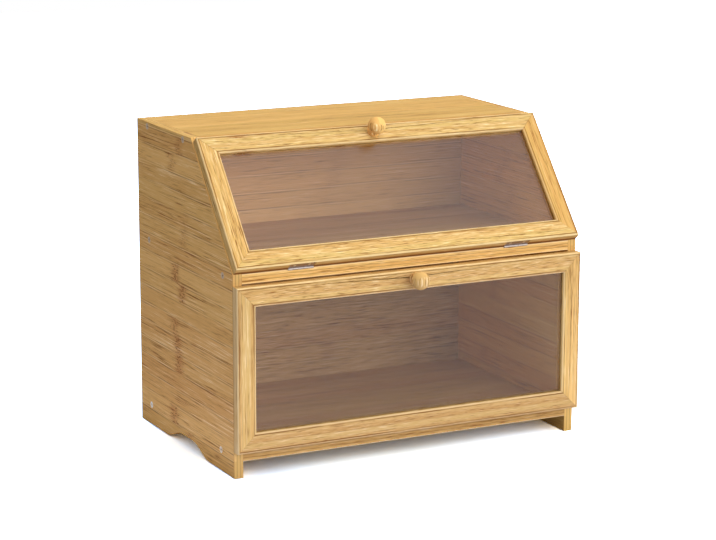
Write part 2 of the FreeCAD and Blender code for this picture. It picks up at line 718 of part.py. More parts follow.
def make_drawer_side(name, side):
    """Drawer side with a rebate for the bottom, dowel holes in front and screw holes behind."""
    body = new_body(f"drawer_side_{name}")
    outer, inner = f"{side} * {BOX_OUTER}", f"{side} * {BOX_INNER}"
    rebate = f"{side} * ({BOX_INNER} + dims.rebate)"
    section = new_sketch(body, "XZ_Plane", f"-({DRAWER_BACK})")
    draw_polygon(section, [(outer, BOX_LOW), (outer, BOX_HIGH), (inner, BOX_HIGH),
                           (inner, BOX_FLOOR), (rebate, BOX_FLOOR), (rebate, BOX_LOW)])
    board = add_pad(body, section, f"{BOX_REAR} - {DRAWER_BACK}")
    board.Reversed = True

    dowels = new_sketch(body, "XZ_Plane", f"-({DRAWER_BACK})")
    for height in dowel_heights():
        draw_circle(dowels, dowel_x(side), height, "dims.dowel_radius + dims.screw_play")
    add_pocket(body, dowels, "dims.dowel_length - dims.dowel_in_stile + dims.hole_relief")

    screws = new_sketch(body, "YZ_Plane", outer)
    for height in drawer_screw_heights():
        draw_circle(screws, drawer_screw_y(), height, "dims.drawer_screw_radius")
    add_countersunk_holes(body, screws, "dims.drawer_screw_radius",
                          "dims.drawer_screw_head_radius", reverse=side < 0)
    put_on_drawer(body)
    return body


def dowel_x(side):
    return f"{side} * ({BOX_OUTER} - dims.dowel_inset)"


def dowel_heights():
    return f"{BOX_LOW} + dims.dowel_rise", f"{BOX_HIGH} - dims.dowel_rise"


def drawer_screw_y():
    return f"({BOX_REAR} - dims.drawer_board / 2)"


def drawer_screw_heights():
    return f"{BOX_FLOOR} + dims.drawer_screw_rise", f"{BOX_HIGH} - dims.drawer_screw_rise"


def make_drawer_back():
    body = new_body("drawer_back")
    outline = new_sketch(body, "XZ_Plane", f"-{BOX_REAR}")
    draw_rectangle(outline, f"-{BOX_INNER}", BOX_INNER, BOX_FLOOR, BOX_HIGH)
    add_pad(body, outline, "dims.drawer_board")
    for side in SIDES.values():
        ends = new_sketch(body, "YZ_Plane", f"{side} * {BOX_INNER}")
        for height in drawer_screw_heights():
            draw_circle(ends, drawer_screw_y(), height,
                        "dims.drawer_screw_radius + dims.screw_play")
        add_pocket(body, ends, "dims.drawer_screw_length - dims.drawer_board", reverse=side < 0)
    put_on_drawer(body)
    return body


def make_drawer_bottom():
    body = new_body("drawer_bottom")
    half = f"({BOX_INNER} + dims.rebate)"
    outline = new_sketch(body, "XY_Plane", BOX_LOW)
    draw_rectangle(outline, f"-{half}", half, DRAWER_BACK, BOX_REAR)
    add_pad(body, outline, "dims.drawer_bottom")
    put_on_drawer(body)
    return body


def bore_dowel_holes(stile, side):
    holes = new_sketch(stile, "XZ_Plane", f"-({DRAWER_BACK})")
    for height in dowel_heights():
        draw_circle(holes, dowel_x(side), height, "dims.dowel_radius + dims.screw_play")
    add_pocket(stile, holes, "dims.dowel_in_stile + dims.hole_relief", reverse=True)


def dowel_places():
    for side in SIDES.values():
        for height in dowel_heights():
            y = f"{FRONT} + {DRAWER_BACK} - dims.dowel_in_stile"
            yield dowel_x(side), y, height, Vector(1, 0, 0), "90"


def drawer_screw_places():
    for side in SIDES.values():
        for height in drawer_screw_heights():
            yield (f"{side} * {BOX_OUTER}", f"{FRONT} + {drawer_screw_y()}", height,
                   Vector(0, side, 0), "90")


# ---------------------------------------------------------------- assembly

nodes = []

# Cabinet
nodes += [make_side_panel(name, side) for name, side in SIDES.items()]
nodes += [make_top_board(), make_shelf_board(), make_bottom_board(), make_back_panel()]
nodes.append(make_fasteners("carcass_screws", make_screw_blank("carcass_screw"),
                            carcass_screw_places()))

# Sloping door
door = make_frame("upper", "dims.door_width", DOOR_LOW, DOOR_HIGH, DOOR_BACK, put_on_door)
cut_hinge_mortises(door["rail_bottom"], DOOR_LOW, f"-(dims.leaf_width + dims.mortise_play)",
                   "dims.overshoot", reverse=True)
cut_hinge_screw_holes(door["rail_bottom"], f"{DOOR_LOW} + {MORTISE}",
                      "-dims.hinge_screw_reach", reverse=True)
door_knob_height = f"({DOOR_HIGH} - dims.knob_drop)"
bore_knob_hole(door["rail_top"], DOOR_BACK, door_knob_height)
nodes.append(make_knob("upper_knob", f"({DOOR_BACK} - dims.frame_thickness)", door_knob_height,
                       put_on_door))

# Drawer
front = make_frame("drawer", "dims.cabinet_width", DRAWER_LOW, DRAWER_HIGH, DRAWER_BACK,
                   put_on_drawer)
drawer_knob_height = f"({DRAWER_HIGH} - dims.knob_drop)"
bore_knob_hole(front["rail_top"], DRAWER_BACK, drawer_knob_height)
nodes.append(make_knob("drawer_knob", f"({DRAWER_BACK} - dims.frame_thickness)",
                       drawer_knob_height, put_on_drawer))
for name, side in SIDES.items():
    bore_dowel_holes(front[f"stile_{name}"], side)
    nodes.append(make_drawer_side(name, side))
nodes += [make_drawer_back(), make_drawer_bottom()]
nodes.append(make_fasteners("drawer_dowels", make_dowel_blank(), dowel_places()))
nodes.append(make_fasteners("drawer_screws", make_screw_blank("drawer_screw"),
                            drawer_screw_places()))
nodes += [*door.values(), *front.values(), doc.upper_pane, doc.drawer_pane]

# Knob screws
knob_screw = make_screw_blank("knob_screw")
nodes.append(make_fasteners("upper_knob_screw", knob_screw, [
    ("0", *on_slope(DOOR_BACK, door_knob_height), Vector(1, 0, 0), "180 + dims.slant_angle")]))
nodes.append(make_fasteners("drawer_knob_screw", knob_screw, [
    ("0", f"{FRONT} + {DRAWER_BACK}", drawer_knob_height, Vector(1, 0, 0), "270")]))

# Hinges
for name, side in SIDES.items():
    middle = f"{side} * {HINGE_MIDDLE}"
    fixed = make_hinge_leaf(f"hinge_leaf_fixed_{name}", 0)
    put(fixed, middle, AXIS_Y, AXIS_Z)
    moving = make_hinge_leaf(f"hinge_leaf_door_{name}", 1)
    put(moving, middle, AXIS_Y, AXIS_Z, Vector(1, 0, 0), "90 + dims.slant_angle")
    pin = make_hinge_pin(f"hinge_pin_{name}")
    put(pin, middle, AXIS_Y, AXIS_Z)
    nodes += [fixed, moving, pin]
hinge_screw = make_screw_blank("hinge_screw")
nodes.append(make_fasteners("hinge_screws_fixed", hinge_screw, [
    (x, f"{AXIS_Y} + dims.hinge_screw_reach", f"{AXIS_Z} - {LEAF_NEAR}")
    for x in hinge_screw_xs()]))
nodes.append(make_fasteners("hinge_screws_door", hinge_screw, [
    (x, *on_slope("-dims.hinge_screw_reach", LEAF_NEAR), Vector(1, 0, 0),
     "90 + dims.slant_angle") for x in hinge_screw_xs()]))

doc.recompute()
for item in doc.Objects:
    if {"Invalid", "Error"} & set(item.State):
        raise RuntimeError(f"{item.Name} did not build: {item.State}")
os.makedirs("parts", exist_ok=True)
for node in nodes:
    if node.Shape.isNull() or not node.Shape.isValid():
        raise RuntimeError(f"{node.Label} has no valid shape")
    node.Shape.exportStep(f"parts/{node.Label}.step")
print(len(nodes), "nodes written")
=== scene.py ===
"""Bread box of laminated bamboo with a sloping glazed door and a glazed drawer."""

import math
from types import SimpleNamespace

import bpy
from mathutils import Matrix, Vector


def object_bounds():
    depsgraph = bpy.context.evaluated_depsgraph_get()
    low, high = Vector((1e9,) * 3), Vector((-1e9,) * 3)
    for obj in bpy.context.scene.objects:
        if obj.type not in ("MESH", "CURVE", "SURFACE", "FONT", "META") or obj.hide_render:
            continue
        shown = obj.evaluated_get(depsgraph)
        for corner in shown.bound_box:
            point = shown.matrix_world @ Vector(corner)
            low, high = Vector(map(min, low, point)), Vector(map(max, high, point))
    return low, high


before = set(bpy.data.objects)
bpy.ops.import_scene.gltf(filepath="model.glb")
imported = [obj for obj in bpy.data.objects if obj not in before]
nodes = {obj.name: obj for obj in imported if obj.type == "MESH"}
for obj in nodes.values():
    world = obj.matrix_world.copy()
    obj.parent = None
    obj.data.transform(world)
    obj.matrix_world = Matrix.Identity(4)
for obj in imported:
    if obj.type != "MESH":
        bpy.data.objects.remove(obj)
cad_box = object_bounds()

# Lengths are in metres
MM = 0.001
X, Y, Z = (1, 0, 0), (0, 1, 0), (0, 0, 1)
LEFT, FRONT = (-1, 0, 0), (0, -1, 0)
WHITE = (1, 1, 1, 1)

# ---------------------------------------------------------------- node graphs

# The sockets that a Mix node uses for colours
MIX_SHARE, MIX_FIRST, MIX_SECOND, MIX_RESULT = 0, 6, 7, 2


class Graph:
    """The node tree of a material or a world, built with short calls that return sockets."""

    def __init__(self, owner, output):
        self.owner = owner
        owner.use_nodes = True
        self.tree = owner.node_tree
        self.tree.nodes.clear()
        self.output = self.add(output)

    def add(self, kind, inputs=None, **settings):
        """Add a node, with its inputs by name or number."""
        node = self.tree.nodes.new(f"ShaderNode{kind}")
        for key, value in settings.items():
            setattr(node, key, value)
        for key, value in (inputs or {}).items():
            self.set(node.inputs[key], value)
        return node

    def set(self, socket, value):
        """Link a socket to another one, or give it a number or a colour of its own."""
        if isinstance(value, bpy.types.NodeSocket):
            self.tree.links.new(value, socket)
        else:
            socket.default_value = value

    def math(self, operation, *values):
        return self.add("Math", dict(enumerate(values)), operation=operation).outputs[0]

    def product(self, first, *others):
        for value in others:
            first = self.math("MULTIPLY", first, value)
        return first

    def scaled(self, value, factor, offset):
        """value times factor, plus offset."""
        return self.math("MULTIPLY_ADD", value, factor, offset)

    def distance(self, value, place):
        return self.math("ABSOLUTE", self.math("SUBTRACT", value, place))

    def to_whole(self, share):
        """How far a share from 0 to 1 is from the nearer of the two."""
        return self.math("MINIMUM", share, self.math("SUBTRACT", 1.0, share))

    def dot(self, vector, direction):
        node = self.add("VectorMath", {0: vector, 1: direction}, operation="DOT_PRODUCT")
        return node.outputs["Value"]

    def vector(self, x, y, z):
        return self.add("CombineXYZ", {0: x, 1: y, 2: z}).outputs[0]

    def noise(self, vector, detail=2.0):
        inputs = {"Vector": vector, "Scale": 1.0, "Detail": detail}
        return self.add("TexNoise", inputs).outputs["Fac"]

    def random(self, value):
        """A random number from 0 to 1 for each value."""
        return self.add("TexWhiteNoise", {"W": value}, noise_dimensions="1D").outputs["Value"]

    def band(self, value, low, high, out_low=0.0, out_high=1.0):
        """Smooth step from out_low, where value is low, to out_high, where it is high."""
        inputs = {"Value": value, "From Min": low, "From Max": high,
                  "To Min": out_low, "To Max": out_high}
        return self.add("MapRange", inputs, interpolation_type="SMOOTHSTEP").outputs[0]

    def ridge(self, value, rise, fall):
        """Smooth step up to 1 over the pair of values rise, and down again over fall."""
        return self.product(self.band(value, *rise), self.band(value, *fall, 1, 0))

    def mix(self, share, first, second, blend="MIX"):
        node = self.add("Mix", data_type="RGBA", blend_type=blend)
        for index, value in ((MIX_SHARE, share), (MIX_FIRST, first), (MIX_SECOND, second)):
            self.set(node.inputs[index], value)
        return node.outputs[MIX_RESULT]

    def surface(self, shader):
        """Show the shader on the material or the world, and return that."""
        self.tree.links.new(shader, self.output.inputs["Surface"])
        return self.owner


def material_graph(name):
    return Graph(bpy.data.materials.new(name), "OutputMaterial")


def linear(red, green, blue):
    """sRGB from 0 to 255 as a linear colour."""
    def channel(value):
        value /= 255
        return value / 12.92 if value <= 0.04045 else ((value + 0.055) / 1.055) ** 2.4
    return (channel(red), channel(green), channel(blue), 1.0)


# ---------------------------------------------------------------- places on the nodes


def span(name, direction):
    """The lowest and highest place of a node along a direction."""
    direction = Vector(direction).normalized()
    places = [corner.co.dot(direction) for corner in nodes[name].data.vertices]
    return min(places), max(places)


def depth_of(along, across):
    """The direction square to the grain and to the strips' width."""
    return Vector(along).normalized().cross(Vector(across).normalized())


# ---------------------------------------------------------------- bamboo

PALE = linear(255, 228, 172)
HONEY = linear(234, 193, 121)
TAN = linear(217, 168, 102)
OLIVE = linear(222, 188, 114)
FIBRE = linear(128, 80, 42)
RUST = linear(178, 110, 66)
SEAM = linear(122, 80, 44)

# Everything that a look may say.  Numbers "on a metre" are pairs: along the grain and across it.
PLAIN_LOOK = {
    "streak": 0.0,              # strength of the long lines
    "fleck": 0.0,               # strength of the short dashes
    "edge_fleck": 0.0,          # what is added to fleck on the sides that show the layers
    "cloud": 0.0,               # strength of the broad shades
    "scratch": 0.0,             # strength of the scratches, each a dark and a light line
    "seam": 0.0,                # strength of the joints between strips
    "knuckles": 0.0,            # strength of the knuckles
    "dash": (95, 680),          # short dashes on a metre
    "shade": (9, 70),           # broad shades on a metre
    "scratches": (4, 360),      # scratches on a metre
    "bundle": 0.0,              # how much the long lines and scratches gather into bundles
    "rust": 0.3,                # redness of the dark fibres
    "pitch": 235 * MM,          # from one group of knuckles to the next
    "group_at": 24.91 * MM,     # place of one group along the grain
    "scatter": 23 * MM,         # how far a strip's knuckle may be from its group's place
    "tint": (1, 1, 1),          # multiplies the colour
    "tinted_sides": (),         # directions, each with the tint of painted light and shade on the sides that face it
    "crease": None,             # place in depth at which the painted shade on those sides is darkest
    "arrises": (),              # painted highlights on edges along the grain, by place across and in depth
}

# Cosines over which a side starts to show end grain, the layers or the painted light and shade of
# its direction
END_GRAIN_FACING = (0.3, 0.6)
LAYERS_FACING = (0.7, 0.9)
PAINTED_SIDE_FACING = (0.9, 0.99)

# Layers stand this far past a piece, so that no joint between them falls on its surface
HAIR = 0.01 * MM

# Added to a piece's seed, so that each kind of random number is a draw of its own
SHIFT_SEED, TONE_SEED, OTHER_SEED, KNUCKLE_SEED = 0.37, 0.0, 50.5, 9.2
LAYER_STRIDE = 31.7
NOISE_STRIDE = 7.3

# Fibres: lumps on a metre along and across the grain, and from which value to which they show
SWAY_GRAIN, SWAY = (7, 25), 3 * MM
LINE_GRAIN = (9, 520)
FINE_GRAIN, FINE_STRENGTH = (60, 1000), 0.3
BUNDLE_GRAIN, BUNDLED = (4, 45), (-0.3, 0.4)
RUST_GRAIN, RUSTY = (30, 130), (-0.2, 0.6)
GRAIN_CONTRAST = 4.0
SHOWN_VALUES = (0.05, 1.3)
END_GRAIN_LOSS = 0.75
OLIVE_SHARE = 0.6
SCRATCH_WIDTH, SCRATCH_GAP = 0.2, 0.3

# Joints between strips: the lines in mm, less on strips that are narrower than FULL_SEAM_STRIP
FULL_SEAM_STRIP = 12 * MM
SEAM_LIGHT, SEAM_LIGHT_STRENGTH = (0.3, 0.8), 0.8
SEAM_DARK_START, SEAM_DARK_END = (0.5, 0.9), (1.2, 2.2)
SEAM_PATCHES, SEAM_SHOWN = 22, (0.35, 0.65)
SEAM_LEAST, SEAM_MORE = 0.5, 0.7

# Joints between layers: where their line fades, measured from the joint
LAYER_LINE, LAYER_LINE_STRENGTH = (0.1 * MM, 0.7 * MM), 0.4

# Knuckles: how ragged they are, and where their shade and the dashes in it fade
KNUCKLE_RAGS, KNUCKLE_RAGGED = 420, 18 * MM
HALO, HALO_STRENGTH = (2 * MM, 16 * MM), 0.5
CORE, CORE_GRAIN, CORE_DASHES = (3 * MM, 13 * MM), (200, 850), (0.0, 0.5)

# Arrises: where the painted highlight on the edge fades, and where the dark line beside it starts
# and ends
ARRIS, ARRIS_STRENGTH = (0.6 * MM, 1.6 * MM), 0.6
LINE_START, LINE_END = (1.4 * MM, 1.8 * MM), (2.4 * MM, 3 * MM)
LINE_DEPTH = (0.3 * MM, 0.8 * MM)
LINE_PATCHES, LINE_SHOWN, LINE_STRENGTHS = 12, (0.3, 0.6), (0.2, 0.8)

# The painted shadow of a crease fades between these distances from it
CREASE_DEPTH, CREASE_STRENGTH = (1.5 * MM, 5 * MM), 0.95

GRAIN_HEIGHT, GRAIN_BUMP = 0.2 * MM, 0.15
ROUGHNESS, ROUGHNESS_CHANGE = 0.5, 0.05
SPECULAR = 0.01


class Bamboo:
    """The material of one piece, to whose colour each draw method adds a feature."""

    def __init__(self, name, strip, layer, seed, look):
        self.graph = material_graph(name)
        self.strip = strip
        self.layer = layer
        self.seed = seed
        self.look = SimpleNamespace(**dict(PLAIN_LOOK, **look))

    def strip_random(self, kind_seed):
        """A random number from 0 to 1 for each strip."""
        return self.graph.random(self.graph.math("ADD", self.strip_key, self.seed + kind_seed))

    def paint(self, share, colour, blend="MIX"):
        """Lay a colour over what is there, where share says so from 0 to 1."""
        self.colour = self.graph.mix(share, self.colour, colour, blend)

    def measure(self, along, across):
        """Where a point is along the grain, across it and in depth, and what its side shows."""
        graph = self.graph
        coordinates = graph.add("TexCoord").outputs
        place = coordinates["Object"]
        self.facing = coordinates["Normal"]
        self.run = graph.dot(place, along)
        self.wide = graph.dot(place, across)
        self.deep = graph.dot(place, along.cross(across))
        faces_along = graph.math("ABSOLUTE", graph.dot(self.facing, along))
        faces_across = graph.math("ABSOLUTE", graph.dot(self.facing, across))
        self.end_grain = graph.band(faces_along, *END_GRAIN_FACING)
        self.layered = graph.band(faces_across, *LAYERS_FACING)

    def lay_strips(self, bottom):
        """Which strip a point is in, where in it, and the strip's own random numbers."""
        graph = self.graph
        self.level = graph.math("DIVIDE", graph.math("SUBTRACT", self.deep, bottom), self.layer)
        layer_number = graph.math("FLOOR", self.level)
        shift = graph.random(graph.math("ADD", layer_number, self.seed + SHIFT_SEED))
        steps = graph.math("ADD", graph.math("DIVIDE", self.wide, self.strip), shift)
        strip_number = graph.math("FLOOR", steps)
        self.strip_share = graph.math("SUBTRACT", steps, strip_number)
        self.strip_key = graph.scaled(layer_number, LAYER_STRIDE, strip_number)
        self.tone = self.strip_random(TONE_SEED)
        self.other = self.strip_random(OTHER_SEED)
        self.noise_shift = graph.product(self.other, NOISE_STRIDE)

    def bend_grain(self):
        """The grain bends a little on its way."""
        graph = self.graph
        along_scale, across_scale = SWAY_GRAIN
        sway = graph.noise(graph.vector(graph.product(self.run, along_scale),
                                        graph.product(self.wide, across_scale), self.noise_shift))
        self.bent = graph.scaled(sway, SWAY, self.wide)

    def grain(self, along_scale, across_scale):
        """Noise from about -1 to 1, drawn out along the grain; both scales in lumps on a metre."""
        graph = self.graph
        lumps = graph.noise(graph.vector(
            graph.scaled(self.run, along_scale, self.noise_shift),
            graph.product(self.bent, across_scale),
            graph.product(self.deep, across_scale)), detail=1.0)
        return graph.scaled(lumps, GRAIN_CONTRAST, -GRAIN_CONTRAST / 2)

    def scratches(self):
        """Thin pairs of a dark line, -1, and a light one, 1, along contours of the grain."""
        graph = self.graph
        contour = self.grain(*self.look.scratches)
        dark = graph.band(graph.math("ABSOLUTE", contour), 0, SCRATCH_WIDTH, -1, 0)
        light = graph.band(graph.distance(contour, SCRATCH_GAP), 0, SCRATCH_WIDTH, 1, 0)
        return graph.product(graph.math("ADD", dark, light), self.gathered)

    def draw_fibres(self):
        """Strips of different colours, with fibres that end grain shows little of."""
        graph, look = self.graph, self.look
        self.dashes = self.grain(*look.dash)
        self.fine = self.grain(*FINE_GRAIN)
        self.gathered = graph.band(self.grain(*BUNDLE_GRAIN), *BUNDLED,
                                   1 - look.bundle, 1 + look.bundle)
        value = graph.product(self.grain(*LINE_GRAIN), look.streak, self.gathered)
        fleck = graph.scaled(self.layered, look.edge_fleck, look.fleck)
        value = graph.scaled(self.dashes, fleck, value)
        value = graph.scaled(self.grain(*look.shade), look.cloud, value)
        value = graph.scaled(self.fine, FINE_STRENGTH, value)
        value = graph.scaled(self.scratches(), look.scratch, value)
        value = graph.product(value, graph.scaled(self.end_grain, -END_GRAIN_LOSS, 1.0))

        self.colour = graph.mix(self.tone, HONEY, TAN)
        self.paint(graph.product(self.other, OLIVE_SHARE), OLIVE)
        red = graph.product(graph.band(self.grain(*RUST_GRAIN), *RUSTY), look.rust)
        dark = graph.mix(red, FIBRE, RUST)
        self.paint(graph.band(value, *SHOWN_VALUES), PALE)
        self.paint(graph.band(graph.product(value, -1.0), *SHOWN_VALUES), dark)

    def draw_seams(self):
        """Joints between strips: a light line between two dark ones, that come and go."""
        graph, seam = self.graph, self.look.seam
        size = min(1.0, self.strip / FULL_SEAM_STRIP) * MM

        def sized(pair):
            return [value * size for value in pair]

        away = graph.product(graph.to_whole(self.strip_share), self.strip)
        patches = graph.noise(graph.vector(
            graph.product(self.run, SEAM_PATCHES), self.strip_key, self.noise_shift))
        shown = graph.product(graph.band(patches, *SEAM_SHOWN),
                              graph.scaled(self.tone, SEAM_MORE, SEAM_LEAST),
                              graph.math("SUBTRACT", 1.0, self.end_grain))
        dark = graph.ridge(away, sized(SEAM_DARK_START), sized(SEAM_DARK_END))
        self.paint(graph.product(dark, shown, seam), SEAM)
        light = graph.band(away, *sized(SEAM_LIGHT), SEAM_LIGHT_STRENGTH * seam, 0)
        self.paint(graph.product(light, shown), PALE)

    def draw_layers(self):
        """Joints between the layers, on the sides that show them."""
        graph = self.graph
        away = graph.product(graph.to_whole(graph.math("FRACT", self.level)), self.layer)
        line = graph.product(graph.band(away, *LAYER_LINE, LAYER_LINE_STRENGTH, 0),
                             graph.math("MAXIMUM", self.end_grain, self.layered))
        self.paint(line, SEAM)

    def draw_knuckles(self):
        """Knuckles: a reddish shade with dark dashes in it, strong on some of the strips."""
        graph, look = self.graph, self.look
        ragged = graph.noise(graph.vector(
            graph.product(self.wide, KNUCKLE_RAGS), self.noise_shift, 0.0))
        ragged = graph.scaled(ragged, 2 * KNUCKLE_RAGGED, -KNUCKLE_RAGGED)
        turn = graph.math("DIVIDE", graph.math("ADD", self.run, ragged), look.pitch)
        start = 0.5 - (look.group_at + look.scatter) / look.pitch
        turn = graph.math("ADD", turn, graph.scaled(
            self.other, 2 * look.scatter / look.pitch, start))
        away = graph.product(graph.distance(graph.math("FRACT", turn), 0.5), look.pitch)
        rank = self.strip_random(KNUCKLE_SEED)
        strength = graph.product(graph.math("POWER", rank, 2.0), look.knuckles)
        self.paint(graph.product(graph.band(away, *HALO, HALO_STRENGTH, 0), strength), RUST)
        core = graph.product(graph.band(away, *CORE, 1, 0), strength,
                             graph.band(self.grain(*CORE_GRAIN), *CORE_DASHES))
        self.paint(core, FIBRE)

    def draw_arris_highlights(self):
        """Painted highlights on the edges in front, each with a dark line beside it that comes and
        goes.
        """
        graph = self.graph
        patches = graph.noise(graph.vector(
            graph.product(self.run, LINE_PATCHES), self.noise_shift, 0.0))
        shown = graph.band(patches, *LINE_SHOWN, *LINE_STRENGTHS)
        for wide_place, deep_place in self.look.arrises:
            in_depth = graph.distance(self.deep, deep_place)
            away = graph.math("MAXIMUM", graph.distance(self.wide, wide_place), in_depth)
            # Painted highlight along the edge
            self.paint(graph.band(away, *ARRIS, ARRIS_STRENGTH, 0), PALE)
            line = graph.product(graph.ridge(away, LINE_START, LINE_END),
                                 graph.band(in_depth, *LINE_DEPTH, 1, 0), shown)
            self.paint(line, FIBRE)

    def draw_side_shading_and_tint(self):
        """Painted light and shade on single sides, a painted shadow near the crease if there is
        one, and the tint of the piece.
        """
        graph, look = self.graph, self.look
        for direction, tint in look.tinted_sides:
            on_side = graph.band(graph.dot(self.facing, direction), *PAINTED_SIDE_FACING)
            self.paint(on_side, (*tint, 1), blend="MULTIPLY")
            if look.crease is not None:
                # A painted shadow in the dark fibre colour, darkest at the crease
                low, high = (look.crease + depth for depth in CREASE_DEPTH)
                shade = graph.band(self.deep, low, high, CREASE_STRENGTH, 0)
                self.paint(graph.product(on_side, shade), FIBRE)
        self.paint(1.0, (*look.tint, 1), blend="MULTIPLY")

    def finish(self):
        """The material, with its fine fibres and dashes in the surface."""
        graph = self.graph
        height = graph.scaled(self.fine, 0.5, graph.product(self.dashes, 0.5))
        bump = graph.add("Bump", {
            "Height": height, "Strength": GRAIN_BUMP, "Distance": GRAIN_HEIGHT})
        shader = graph.add("BsdfPrincipled", {
            "Base Color": self.colour, "Normal": bump.outputs[0],
            "Roughness": graph.scaled(self.fine, ROUGHNESS_CHANGE, ROUGHNESS),
            "Specular IOR Level": SPECULAR})
        return graph.surface(shader.outputs[0])


def bamboo(name, along, across, strip, layers, seed, look):
    """Laminated bamboo for a node.

    along and across are the directions of the grain and of the strips' width, strip is that
    width, and layers says how many layers share the node's depth, which is square to both
    directions.  look holds what differs from PLAIN_LOOK.
    """
    low, high = span(name, depth_of(along, across))
    piece = Bamboo(name, strip, (high - low + 2 * HAIR) / layers, seed, look)
    piece.measure(Vector(along).normalized(), Vector(across).normalized())
    piece.lay_strips(low - HAIR)
    piece.bend_grain()
    piece.draw_fibres()
    piece.draw_seams()
    piece.draw_layers()
    piece.draw_knuckles()
    piece.draw_arris_highlights()
    piece.draw_side_shading_and_tint()
    return piece.finish()


# ---------------------------------------------------------------- glass and steel

# How steeply the panes' reflection grows towards grazing angles
GRAZING = 5.0
PANE_ROUGHNESS = 0.25


def pane_material(name, passed, gloss_share):
    """Clear acrylic: see-through, with a reflection that grows towards grazing angles."""
    graph = material_graph(name)
    facing = graph.add("LayerWeight", {"Blend": 0.5}).outputs["Facing"]
    share = graph.scaled(graph.math("POWER", facing, GRAZING), 1 - gloss_share, gloss_share)
    clear = graph.add("BsdfTransparent", {"Color": passed}).outputs[0]
    gloss = graph.add("BsdfGlossy", {"Color": WHITE, "Roughness": PANE_ROUGHNESS}).outputs[0]
    shader = graph.add("MixShader", {0: share, 1: clear, 2: gloss}).outputs[0]
    return graph.surface(shader)


GREY_STEEL = (0.45, 0.44, 0.42, 1)
PAINTED_SHADE_STEEL = (0.36, 0.27, 0.22, 1)
DULL_STEEL = linear(205, 180, 148)
BRUSH_MARKS = (400, 4000, 4000)
BRUSHED_ROUGHNESS, DULL_ROUGHNESS = 0.2, 0.3
GREY_SHARE = 0.4
SHADED_FACING = (0.95, 0.99)


def steel_material(name, colour, roughness, shaded_side=None, bright_below=None):
    """Brushed steel, grey in places.

    Painted shade makes the sides that face the given direction darker and browner, and above
    bright_below it is dull.
    """
    graph = material_graph(name)
    coordinates = graph.add("TexCoord").outputs
    marks = graph.add("VectorMath", {0: coordinates["Object"], 1: BRUSH_MARKS},
                      operation="MULTIPLY").outputs[0]
    grain = graph.noise(marks, detail=3)
    rough = graph.scaled(grain, BRUSHED_ROUGHNESS, roughness - BRUSHED_ROUGHNESS / 2)
    tint = graph.mix(graph.product(grain, GREY_SHARE), colour, GREY_STEEL)
    metallic = 1.0
    # Painted shade on the sides that face that direction
    if shaded_side:
        facing = graph.dot(coordinates["Normal"], shaded_side)
        tint = graph.mix(graph.band(facing, *SHADED_FACING), tint, PAINTED_SHADE_STEEL)
    if bright_below:
        dull = graph.band(graph.dot(coordinates["Object"], Z), bright_below, 2 * bright_below)
        rough = graph.scaled(dull, DULL_ROUGHNESS, rough)
        tint = graph.mix(dull, tint, DULL_STEEL)
        metallic = graph.math("SUBTRACT", 1.0, dull)
    shader = graph.add("BsdfPrincipled", {
        "Base Color": tint, "Roughness": rough, "Metallic": metallic})
    return graph.surface(shader.outputs[0])


# ---------------------------------------------------------------- dressing the nodes

# The door's slope, from level
SLANT = math.radians(50)
UP_SLOPE = (0, math.cos(SLANT), math.sin(SLANT))
DOWN_SLOPE = tuple(-value for value in UP_SLOPE)

# The strips' width, and how many layers of them the boards and the slimmer pieces have
WIDE_STRIP, BOARD_LAYERS = 19 * MM, 3
NARROW_STRIP, SLIM_LAYERS = 4.6 * MM, 1

# How wide edges are rounded, if their angle is over SHARP_ANGLE; corners within SAME_PLACE
# are joined first
BOARD_EDGE, FRAME_EDGE = 0.15 * MM, 0.35 * MM
SAME_PLACE = 0.001 * MM
SHARP_ANGLE = math.radians(25)


def front_arrises(name):
    """The two front edges of a board that lies flat."""
    front = span(name, Y)[0]
    return [(front, place) for place in span(name, Z)]


def soften_edges(name, width):
    """Round a piece's sharp edges, so that they catch the light."""
    item = nodes[name]
    item.data.attributes.remove(item.data.attributes["custom_normal"])
    weld = item.modifiers.new("weld", "WELD")
    weld.merge_threshold = SAME_PLACE
    bevel = item.modifiers.new("bevel", "BEVEL")
    bevel.width = width
    bevel.segments = 2
    bevel.limit_method = "ANGLE"
    bevel.angle_limit = SHARP_ANGLE
    bevel.harden_normals = True


def dress(name, material):
    """Give a node its material."""
    nodes[name].data.materials.clear()
    nodes[name].data.materials.append(material)


def dress_board(name, along, across, look, seed, **more):
    """A board, in layers of wide strips."""
    dress(name, bamboo(name, along, across, WIDE_STRIP, BOARD_LAYERS, seed, dict(look, **more)))
    soften_edges(name, BOARD_EDGE)


def dress_member(name, along, across, look, seed, **more):
    """A frame's rail or stile, in narrow strips, with painted highlights on the two arrises in
    front.
    """
    depth = depth_of(along, across)
    low, high = span(name, depth)
    front = high if depth.y < 0 else low
    arrises = [(place, front) for place in span(name, across)]
    dress(name, bamboo(name, along, across, NARROW_STRIP, SLIM_LAYERS, seed,
                       dict(look, arrises=arrises, **more)))
    soften_edges(name, FRAME_EDGE)


def dress_turned(name, look, seed, **more):
    """A knob or dowels, turned from narrow strips."""
    dress(name, bamboo(name, Z, X, NARROW_STRIP, SLIM_LAYERS, seed, dict(look, **more)))


